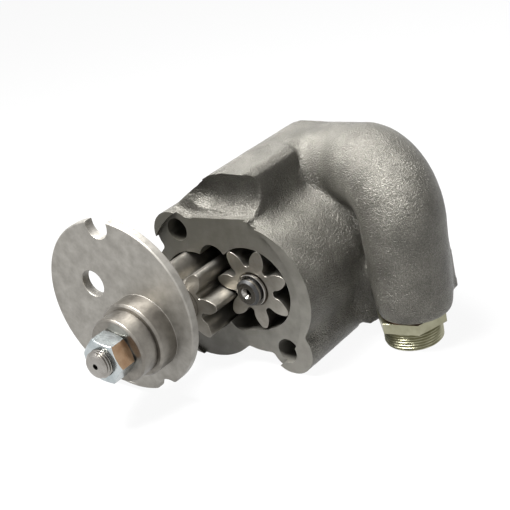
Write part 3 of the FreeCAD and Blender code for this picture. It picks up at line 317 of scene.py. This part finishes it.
def point_freedom(places):
    """How far each point may move: not at all on the joint face, little in the block's hollow."""
    fade_start = 3
    fade_length = 6
    hollow_right = 21.5
    hollow_back = 13
    hollow_foot = 38
    x, y, z = places.T / MM
    freedom = numpy.clip((y - fade_start) / fade_length, 0, 1)
    freedom[(x < hollow_right) & (y < hollow_back) & (z > hollow_foot)] *= 0.15
    return freedom


def fill_hollows(mesh, rounds):
    """Round the inner corners only: points move out towards their neighbours, never in."""
    rounds_per_normal = 10
    stride = 0.8
    ends = numpy.empty(len(mesh.edges) * 2, dtype=int)
    mesh.edges.foreach_get("vertices", ends)
    first, second = ends.reshape(-1, 2).T
    count = len(mesh.vertices)
    share = numpy.bincount(ends, minlength=count)
    places = read_rows(mesh.vertices, "co")
    freedom = point_freedom(places)
    for turn in range(rounds):
        if turn % rounds_per_normal == 0:
            mesh.vertices.foreach_set("co", places.ravel())
            mesh.update()
            normals = read_rows(mesh.vertex_normals, "vector")
        pull = numpy.empty_like(places)
        for axis in range(3):
            near = numpy.bincount(first, places[second, axis], count)
            near += numpy.bincount(second, places[first, axis], count)
            pull[:, axis] = near / share - places[:, axis]
        outward = (pull * normals).sum(axis=1) > 0
        places += pull * (outward * freedom * stride)[:, None]
    mesh.vertices.foreach_set("co", places.ravel())
    mesh.update()


def roughen(mesh):
    """Slight waves and grain of a sand casting; all points end a little further in."""
    wave_size = 6
    wave_depth = 0.1
    grain_size = 1.7
    grain_depth = 0.06
    inset = 0.16
    places = [point.co.copy() for point in mesh.vertices]
    normals = [point.normal.copy() for point in mesh.vertices]
    for point, place, normal in zip(mesh.vertices, places, normals):
        wave = noise.noise(place / (wave_size * MM)) * wave_depth
        wave += noise.noise(place / (grain_size * MM)) * grain_depth
        point.co = place + normal * (wave - inset) * MM


def casting_cutters():
    """Joint face, recess, chambers, ports, bolt holes, seats and ways that cut the casting."""
    far = RIM_Y - 8
    through = 90
    half = 120
    skin = [(-half, -half), (half, -half), (half, half), (-half, half)]
    recess_radius = 45.9
    chamber_radius = 22.02
    upper_port = (-8.6, 14.9)
    upper_port_end = 53
    lower_port = (1.5, -15.6)
    port_floor = [lower_port, (1.1, -23.1), (18.9, -19.5), IDLER]
    bolt_hole_radius = 6.1
    seat_start = 30
    leg_way = 13.0
    neck_way = 12.01
    bottom, step, top = [(PIPE[0], PIPE[1], z) for z in (-30, -7, 40)]
    return [
        cutter("rim_plane", block(skin, far - 20, RIM_Y)),
        cutter("recess", drum(RECESS, recess_radius, far, 0.0, steps=256)),
        cutter("drive_chamber", drum(DRIVE, chamber_radius, far, CHAMBER_END)),
        cutter("idler_chamber", drum(IDLER, chamber_radius, far, CHAMBER_END)),
        cutter("upper_port", drum(upper_port, 8.3, far, upper_port_end)),
        cutter("lower_port", drum(lower_port, 7.5, far, CHAMBER_END)),
        cutter("port_floor", block(port_floor, far, CHAMBER_END - 0.01)),
        cutter("upper_bolt", drum(BOLT, bolt_hole_radius, far, through)),
        cutter("lower_bolt", drum((-BOLT[0], -BOLT[1]), bolt_hole_radius, far, through)),
        cutter("bush_seat", drum(DRIVE, 11.51, seat_start, CHAMBER_END + 18.8)),
        cutter("pin_seat", drum(IDLER, 6.88, seat_start, CHAMBER_END + 11.3)),
        cutter("leg_way", hose([step, top], [leg_way, leg_way])),
        cutter("neck_way", hose([bottom, step], [neck_way, neck_way])),
    ]


def make_casting():
    """Casting with rounded transitions, then its machined faces, bores and ports."""
    thing = mesh_object("casting", casting_solids())
    remesh = thing.modifiers.new("skin", "REMESH")
    remesh.mode = "VOXEL"
    remesh.voxel_size = 0.9 * MM
    soften = thing.modifiers.new("fillets", "SMOOTH")
    soften.factor = 0.5
    soften.iterations = 8
    apply_modifiers(thing)
    fill_hollows(thing.data, rounds=95)
    roughen(thing.data)
    thing.data.materials.clear()
    thing.data.materials.append(MATERIALS["cast"])
    thing.data.materials.append(MATERIALS["machined"])
    carve(thing, casting_cutters())
    smooth_shading(thing, 50)
    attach(thing, "housing")
    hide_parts("housing")


# Turned and milled pieces with softened edges and real threads

def softened_copy(node, bevel_mm, narrow=None, turn=0):
    """Copy of a CAD node's mesh with clean faces and small bevels; it stands for the node.

    narrow pulls the points of a plain threaded stretch in to the core of the thread: it is
    (centre, axis, outer radius, core radius, low end, high end). turn is in degrees about
    the drive shaft.
    """
    merge_distance = 0.004
    tolerance = 0.05
    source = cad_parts[node]
    thing = new_object(node + "_finished", source.data.copy())
    work = bmesh.new()
    work.from_mesh(thing.data)
    bmesh.ops.remove_doubles(work, verts=work.verts, dist=merge_distance * MM)
    if narrow:
        centre, axis, outer, core, low, high = narrow
        other = 1 if axis == 2 else 2
        for point in work.verts:
            across = Vector((point.co.x / MM - centre[0], point.co[other] / MM - centre[1]))
            if abs(across.length - outer) < tolerance and low <= point.co[axis] / MM <= high:
                across *= core / across.length
                point.co.x = (centre[0] + across.x) * MM
                point.co[other] = (centre[1] + across.y) * MM
    shaft = Vector((DRIVE[0], 0, DRIVE[1])) * MM
    bmesh.ops.rotate(work, cent=shaft, matrix=Matrix.Rotation(math.radians(turn), 3, "Y"),
                     verts=work.verts)
    bmesh.ops.dissolve_limit(work, angle_limit=math.radians(1), verts=work.verts,
                             edges=work.edges)
    work.to_mesh(thing.data)
    work.free()
    finish_copy(thing, node, bevel_mm)
    return thing


def finish_copy(thing, node, bevel_mm):
    """Bevels, shading, material and place in the part of a piece that stands for a node."""
    edge = thing.modifiers.new("edges", "BEVEL")
    edge.width = bevel_mm * MM
    edge.segments = 2
    edge.limit_method = "ANGLE"
    edge.angle_limit = math.radians(32)
    edge.use_clamp_overlap = True
    smooth_shading(thing, 32)
    apply_modifiers(thing)
    smooth_shading(thing, 50)
    even = thing.modifiers.new("normals", "WEIGHTED_NORMAL")
    even.weight = 100
    even.keep_sharp = True
    apply_modifiers(thing)
    thing.data.materials.clear()
    thing.data.materials.append(MATERIALS[NODE_MATERIALS[node]])
    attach(thing, BODY_OF[node])
    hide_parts(node)


def thread(name, node, centre, axis, start, end, minor, major, pitch, chamfer):
    """Screw thread as a closed sleeve; its free end is at start, where a chamfer cuts it."""
    steps = ROUND_STEPS
    rows_per_turn = 12
    flank_slope = 1.3
    crest_width = 0.15
    wall = 0.8
    rows = int(abs(end - start) / (pitch / rows_per_turn))
    other = 1 if axis == 2 else 2

    def place(radius, turn, along):
        spot = [0, 0, 0]
        spot[0] = centre[0] + radius * math.cos(turn)
        spot[other] = centre[1] + radius * math.sin(turn)
        spot[axis] = along
        return spot

    points = []
    for row in range(rows + 1):
        along = start + (end - start) * row / rows
        for step in range(steps):
            share = step / steps
            phase = (abs(along - start) / pitch - share) % 1.0
            depth = min(max(abs(phase - 0.5) * 2 * flank_slope - crest_width, 0.0), 1.0)
            radius = major - (major - minor) * depth
            radius = min(radius, major - chamfer + abs(along - start))
            points.append(place(radius, 2 * math.pi * share, along))
    for along in (end, start):
        for step in range(steps):
            points.append(place(minor - wall, 2 * math.pi * step / steps, along))
    rings = rows + 3
    faces = []
    for ring in range(rings):
        for step in range(steps):
            after = (step + 1) % steps
            low = ring * steps
            high = (ring + 1) % rings * steps
            faces.append([low + step, low + after, high + after, high + step])
    thing = mesh_object(name, [(points, faces)])
    smooth_shading(thing, 28)
    thing.data.materials.append(MATERIALS[NODE_MATERIALS[node]])
    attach(thing, BODY_OF[node])
    return thing


def make_gear(node, centre, tooth_angle, bore, start, end):
    """Gear with slender teeth that taper to narrow tips and small round roots.

    roots and flank are pairs of a radius and half the width of the space or tooth there.
    """
    half_pitch = math.pi / TEETH
    roots = [(11.7, 0.0), (11.78, 0.65), (12.15, 1.3), (12.85, 1.9)]
    flank = [(13.9, 3.92), (14.9, 4.06), (16.0, 4.02), (17.0, 3.84), (18.0, 3.52),
             (19.0, 3.06), (20.0, 2.48), (20.8, 1.9), (21.4, 1.3), (21.72, 0.6)]
    rising = [(radius, wide / radius - half_pitch) for radius, wide in roots]
    rising += [(radius, -math.asin(wide / radius)) for radius, wide in flank]
    falling = [(radius, -turn) for radius, turn in reversed(rising[1:])]
    outline = []
    for tooth in range(TEETH):
        middle = math.radians(tooth_angle) + 2 * half_pitch * tooth
        outline += [(radius, middle + turn) for radius, turn in rising + falling]
    count = len(outline)
    points = []
    for along in (start, end):
        for inner in (False, True):
            for radius, turn in outline:
                reach = bore if inner else radius
                points.append((centre[0] + reach * math.cos(turn), along,
                               centre[1] + reach * math.sin(turn)))
    faces = []
    for step in range(count):
        after = (step + 1) % count
        for low, high in ((0, 1), (1, 3), (3, 2), (2, 0)):
            faces.append([low * count + step, low * count + after,
                          high * count + after, high * count + step])
    thing = mesh_object(node + "_finished", [(points, faces)])
    finish_copy(thing, node, 0.16)
    return thing


def make_ring(name, centre, inner, outer, start, end):
    """Short ring with chamfered rims, along Y."""
    rim = 0.3
    section = [(inner, start), (outer - rim, start), (outer, start + rim), (outer, end),
               (inner, end)]
    steps = ROUND_STEPS
    points = []
    faces = []
    for step in range(steps):
        turn = 2 * math.pi * step / steps
        for radius, along in section:
            points.append((centre[0] + radius * math.cos(turn), along,
                           centre[1] + radius * math.sin(turn)))
        for spot in range(len(section)):
            low = step * len(section)
            high = (step + 1) % steps * len(section)
            after = (spot + 1) % len(section)
            faces.append([low + spot, low + after, high + after, high + spot])
    thing = mesh_object(name, [(points, faces)])
    smooth_shading(thing, 30)
    return thing


def off_axis(face, centre):
    """Distance in millimetres between the middle of a face and an axis along Y."""
    return math.hypot(face.center.x / MM - centre[0], face.center.z / MM - centre[1])


def on_boss(face):
    """Whether a face is on the cover's boss, in front of the disc."""
    boss_reach = 19.6
    boss_foot = -42.6
    return off_axis(face, DRIVE) < boss_reach and face.center.y / MM < boss_foot


def on_pin_shadow_edge(face):
    """Whether a face is on the chamfer or the rim at the free end of the idler pin, where a dark
    ring is painted shadow.
    """
    inner = 4.5
    outer = 6.6
    across = off_axis(face, IDLER)
    slope = abs(face.normal.y)
    chamfer = 0.2 < slope < 0.97 and across > inner
    rim = inner < across < outer and slope < 0.2
    return face.center.y < 0 and (chamfer or rim)


def on_painted_reflection_flat(face):
    """Whether a face is on the flat of the nut that looks to the right, which takes a painted
    brown reflection.
    """
    beside_shaft = face.center.x / MM > DRIVE[0] and abs(face.normal.y) < 0.2
    return beside_shaft and face.normal.x > 0.9


def paint(thing, name, chosen):
    """Second material on the faces that a test picks."""
    thing.data.materials.append(MATERIALS[name])
    for face in thing.data.polygons:
        if chosen(face):
            face.material_index = 1


def make_small_pieces():
    """Finished copies of the metal pieces that show, with the threads of shaft and fitting."""
    paint(softened_copy("cover", 0.15), "turned", on_boss)
    make_gear("idler_gear", IDLER, tooth_angle=19.6, bore=8.88, start=0.05, end=36.05)
    make_gear("drive_gear", DRIVE, tooth_angle=206.51, bore=9.53, start=-13.95, end=22.05)
    # The chamfer and rim of the pin's free end get a painted shadow ring
    paint(softened_copy("idler_pin", 0.08), "dark_steel_and_painted_shadow", on_pin_shadow_edge)
    collar = make_ring("bush_collar", IDLER, inner=6.95, outer=8.3, start=-1.9, end=0.2)
    collar.data.materials.append(MATERIALS["pin"])
    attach(collar, "idler")
    softened_copy("spacer_sleeve", 0.15)
    paint(softened_copy("shaft_nut", 0.22, turn=19.5), "nut_painted_reflection", on_painted_reflection_flat)
    softened_copy("drive_shaft", 0.1, narrow=(DRIVE, 1, 7.0, 5.8, -78.0, -62.0))
    thread("shaft_thread", "drive_shaft", DRIVE, axis=1, start=-78.36, end=-73.4,
           minor=5.85, major=7.0, pitch=1.5, chamfer=1.4)
    softened_copy("pipe_fitting", 0.2, narrow=(PIPE, 2, 14.9, 13.8, -40.9, -31.0))
    thread("fitting_thread", "pipe_fitting", PIPE, axis=2, start=-41.18, end=-31.2,
           minor=13.95, major=14.9, pitch=1.5, chamfer=1.0)


# Materials

def linear(red, green, blue):
    """Colour read from the photograph, 0 to 255, as the renderer's linear colour."""
    return tuple(((value / 255 + 0.055) / 1.055) ** 2.4 for value in (red, green, blue)) + (1.0,)


class Finish:
    """Material under construction: its nodes in the frame of the part."""

    def __init__(self, name, roughness, metallic):
        self.material = bpy.data.materials.new(name)
        self.material.use_nodes = True
        self.nodes = self.material.node_tree.nodes
        self.links = self.material.node_tree.links
        self.shader = self.nodes["Principled BSDF"]
        self.shader.inputs["Metallic"].default_value = metallic
        self.shader.inputs["Roughness"].default_value = roughness
        self.place = self.nodes.new("ShaderNodeTexCoord").outputs["Object"]

    def node(self, kind, inputs=None, **settings):
        """New node with settings, values and links."""
        made = self.nodes.new(kind)
        for name, value in settings.items():
            setattr(made, name, value)
        for name, value in (inputs or {}).items():
            if isinstance(value, bpy.types.NodeSocket):
                self.links.new(value, made.inputs[name])
            else:
                made.inputs[name].default_value = value
        return made

    def noise(self, size_mm, detail=2.0, rough=0.5, place=None):
        """Noise with blotches of about a size in millimetres."""
        inputs = {"Vector": place or self.place, "Scale": 1 / (size_mm * MM),
                  "Detail": detail, "Roughness": rough}
        return self.node("ShaderNodeTexNoise", inputs).outputs["Fac"]

    def turned(self, centre, size_mm):
        """Fine lines of a lathe round an axis along Y."""
        parts = self.node("ShaderNodeSeparateXYZ", {"Vector": self.place})
        across = self.math("SUBTRACT", parts.outputs["X"], centre[0] * MM)
        up = self.math("SUBTRACT", parts.outputs["Z"], centre[1] * MM)
        squares = self.math("ADD", self.math("MULTIPLY", across, across),
                            self.math("MULTIPLY", up, up))
        radius = self.math("POWER", squares, 0.5)
        place = self.node("ShaderNodeCombineXYZ", {"X": radius, "Y": parts.outputs["Y"]})
        return self.noise(size_mm, 3.0, 0.6, place.outputs["Vector"])

    def math(self, operation, first, second):
        """Arithmetic on two values."""
        return self.node("ShaderNodeMath", {0: first, 1: second},
                         operation=operation).outputs["Value"]

    def ramp(self, factor, stops):
        """Colours along a factor: pairs of position and colour."""
        made = self.node("ShaderNodeValToRGB", {"Fac": factor})
        points = made.color_ramp.elements
        while len(points) < len(stops):
            points.new(0.5)
        for point, (position, colour) in zip(points, stops):
            point.position = position
            point.color = colour
        return made.outputs["Color"]

    def colour(self, socket):
        """Base colour from a socket."""
        self.links.new(socket, self.shader.inputs["Base Color"])

    def roughness(self, factor, low, high):
        """Roughness that follows a factor."""
        spread = self.node("ShaderNodeMapRange", {"Value": factor, "To Min": low, "To Max": high})
        self.links.new(spread.outputs["Result"], self.shader.inputs["Roughness"])

    def bump(self, height, depth_mm, strength=1.0):
        """Relief of a depth in millimetres, on top of any relief made before."""
        made = self.node("ShaderNodeBump", {"Height": height, "Strength": strength,
                                            "Distance": depth_mm * MM})
        socket = self.shader.inputs["Normal"]
        if socket.links:
            self.links.new(socket.links[0].from_socket, made.inputs["Normal"])
        self.links.new(made.outputs["Normal"], socket)


def cast_finish():
    """Sand-cast iron with fine grain and slightly uneven tone."""
    made = Finish("cast_iron_skin", 0.36, 0.5)
    grain_mm = 0.55
    lump_mm = 1.0
    patch_mm = 14.0
    grain_share = 0.65
    patch_share = 0.35
    grain = made.noise(grain_mm, 2.0, 0.6)
    patches = made.noise(patch_mm, 3.0)
    both = made.math("ADD", made.math("MULTIPLY", grain, grain_share),
                     made.math("MULTIPLY", patches, patch_share))
    made.colour(made.ramp(both, [(0.36, linear(56, 54, 49)), (0.5, linear(76, 74, 68)),
                                 (0.64, linear(104, 102, 95))]))
    made.roughness(grain, 0.28, 0.42)
    made.bump(grain, 0.65)
    made.bump(made.noise(lump_mm, 2.0), 0.45)
    return made.material


def machined_finish():
    """Milled iron with a painted reflection: darker towards the top left."""
    painted_reflection_right_share = 0.8
    blotch_share = 0.8
    painted_reflection_per_metre = 5.5
    made = Finish("machined_iron_painted_reflection", 0.42, 0.4)
    blotch = made.noise(7.0, 4.0, 0.6)
    # Painted reflection: the colour darkens upwards and to the left; the blotches are the iron's
    # own uneven tone
    parts = made.node("ShaderNodeSeparateXYZ", {"Vector": made.place})
    painted_reflection_height = made.math("SUBTRACT", parts.outputs["Z"],
                     made.math("MULTIPLY", parts.outputs["X"], painted_reflection_right_share))
    tone = made.math("SUBTRACT", made.math("MULTIPLY", blotch, blotch_share),
                     made.math("MULTIPLY", painted_reflection_height, painted_reflection_per_metre))
    made.colour(made.ramp(tone, [(0.15, linear(70, 68, 61)), (0.45, linear(82, 80, 74)),
                                 (0.75, linear(98, 96, 90))]))
    made.roughness(made.noise(1.2, 3.0), 0.36, 0.5)
    made.bump(made.noise(0.6, 3.0), 0.04)
    return made.material


def steel_finish(name, dark, light, roughness, lathe_axis=None, relief=0.01):
    """Machined steel with faint blotches and, for turned pieces, the lines of the lathe."""
    made = Finish(name, roughness, 1.0)
    blotch = made.noise(7.0, 4.0, 0.6)
    made.colour(made.ramp(blotch, [(0.32, linear(*dark)), (0.68, linear(*light))]))
    made.roughness(made.noise(2.0, 3.0), roughness * 0.8, roughness * 1.25)
    if lathe_axis:
        made.bump(made.turned(lathe_axis, 0.35), relief)
    else:
        made.bump(made.noise(0.6, 2.0), relief)
    return made.material


def make_materials():
    """Every material by name."""
    return {
        "cast": cast_finish(),
        "machined": machined_finish(),
        "cover": steel_finish("cover_steel", (132, 129, 123), (156, 153, 147), 0.48, DRIVE,
                              0.006),
        "turned": steel_finish("turned_steel", (108, 104, 98), (134, 130, 123), 0.36, DRIVE, 0.01),
        "ground": steel_finish("ground_steel", (138, 134, 129), (160, 157, 152), 0.24, DRIVE,
                               0.004),
        "pin": steel_finish("pin_steel", (128, 125, 121), (150, 147, 143), 0.2, IDLER, 0.004),
        "gear": steel_finish("gear_steel", (136, 132, 124), (160, 156, 148), 0.38),
        "nut": steel_finish("bright_zinc", (158, 166, 168), (188, 193, 194), 0.24),
        # Painted reflection: the brown colour of the nut's right flat
        "nut_painted_reflection": steel_finish("zinc_painted_reflection", (132, 102, 76), (168, 142, 116), 0.3),
        "fitting": steel_finish("yellow_zinc", (140, 138, 116), (164, 162, 140), 0.36),
        "bronze": steel_finish("bearing_bronze", (88, 82, 72), (108, 100, 88), 0.4),
        # Blackened steel for the circlip, and painted shadow on the idler pin's end
        "dark_steel_and_painted_shadow": steel_finish("blackened_steel_and_painted_shadow", (52, 52, 52), (70, 70, 70), 0.4),
        "copper": steel_finish("soft_copper", (170, 110, 80), (196, 134, 102), 0.35),
    }


NODE_MATERIALS = {
    "housing": "cast",
    "idler_pin": "pin",
    "idler_gear": "gear",
    "idler_bush": "bronze",
    "drive_gear": "gear",
    "drive_gear_key": "ground",
    "drive_shaft": "ground",
    "gear_circlip": "dark_steel_and_painted_shadow",
    "rear_bush": "bronze",
    "cover": "cover",
    "cover_bush": "bronze",
    "spacer_sleeve": "turned",
    "shaft_nut": "nut",
    "pipe_fitting": "fitting",
    "fitting_seal": "copper",
}

BODY_OF = {
    "idler_pin": "housing",
    "pipe_fitting": "housing",
    "cover": "cover",
    "drive_gear": "drive",
    "drive_shaft": "drive",
    "spacer_sleeve": "drive",
    "shaft_nut": "drive",
    "idler_gear": "idler",
}


def dress_nodes():
    """Give every CAD node its material."""
    for name, key in NODE_MATERIALS.items():
        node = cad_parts[name]
        node.data.materials.clear()
        node.data.materials.append(MATERIALS[key])


# Light, floor and camera

def add_light(name, place, target, size, power):
    """Square soft white light that faces a target; places and size in millimetres."""
    lamp = bpy.data.lights.new(name, "AREA")
    lamp.size = size * MM
    lamp.energy = power
    thing = new_object(name, lamp)
    thing.location = Vector(place) * MM
    way = Vector(target) * MM - thing.location
    thing.rotation_euler = way.to_track_quat("-Z", "Y").to_euler()


def seen_as_white(tree, output, plain, share):
    """Mix a shader with plain white for camera, mirror and glass rays."""
    nodes = tree.nodes
    path = nodes.new("ShaderNodeLightPath")
    mix = nodes.new("ShaderNodeMixShader")
    white = nodes.new("ShaderNodeEmission")
    rays = path.outputs["Is Camera Ray"]
    for kind in ("Is Glossy Ray", "Is Transmission Ray"):
        either = nodes.new("ShaderNodeMath")
        either.operation = "MAXIMUM"
        tree.links.new(rays, either.inputs[0])
        tree.links.new(path.outputs[kind], either.inputs[1])
        rays = either.outputs["Value"]
    scale = nodes.new("ShaderNodeMath")
    scale.operation = "MULTIPLY"
    tree.links.new(rays, scale.inputs[0])
    scale.inputs[1].default_value = share
    tree.links.new(scale.outputs["Value"], mix.inputs["Fac"])
    tree.links.new(plain, mix.inputs[1])
    tree.links.new(white.outputs["Emission"], mix.inputs[2])
    tree.links.new(mix.outputs["Shader"], output.inputs["Surface"])


def make_surroundings():
    """White floor that keeps the shadow, white world and soft lights."""
    floor_whiteness = 0.93
    world_whiteness = 1.0
    material = bpy.data.materials.new("pale_floor")
    material.use_nodes = True
    shader = material.node_tree.nodes["Principled BSDF"]
    shader.inputs["Base Color"].default_value = (0.6, 0.6, 0.6, 1)
    shader.inputs["Roughness"].default_value = 0.9
    output = material.node_tree.nodes["Material Output"]
    seen_as_white(material.node_tree, output, shader.outputs["BSDF"], floor_whiteness)
    half = 3000
    corners = [(-half, -half, FLOOR_Z), (half, -half, FLOOR_Z), (half, half, FLOOR_Z),
               (-half, half, FLOOR_Z)]
    floor = mesh_object("floor", [(corners, [[0, 1, 2, 3]])])
    floor.data.materials.append(material)
    world = bpy.data.worlds.new("studio")
    bpy.context.scene.world = world
    world.use_nodes = True
    back = world.node_tree.nodes["Background"]
    back.inputs["Color"].default_value = (1, 1, 1, 1)
    back.inputs["Strength"].default_value = 0.05
    seen_as_white(world.node_tree, world.node_tree.nodes["World Output"],
                  back.outputs["Background"], world_whiteness)
    middle = (20, 20, 10)
    add_light("overhead", (-75, -90, 560), middle, 300, 22.0)
    add_light("front_fill", (-350, -650, 250), middle, 500, 0.9)
    add_light("right_fill", (650, -200, 200), middle, 400, 0.5)


def make_camera():
    """Camera at the place that the photograph was taken from."""
    camera = bpy.data.cameras.new("camera")
    camera.lens = CAMERA_LENS
    camera.sensor_width = 36
    thing = new_object("camera", camera)
    back = -CAMERA_LOOK
    right = (CAMERA_RIGHT - back * CAMERA_RIGHT.dot(back)).normalized()
    up = back.cross(right)
    thing.matrix_world = Matrix((
        (right.x, up.x, back.x, CAMERA_PLACE.x),
        (right.y, up.y, back.y, CAMERA_PLACE.y),
        (right.z, up.z, back.z, CAMERA_PLACE.z),
        (0, 0, 0, 1),
    ))
    bpy.context.scene.camera = thing


MATERIALS = make_materials()
make_camera()
make_surroundings()
dress_nodes()
make_casting()
make_small_pieces()
bpy.context.scene.view_settings.view_transform = "Standard"
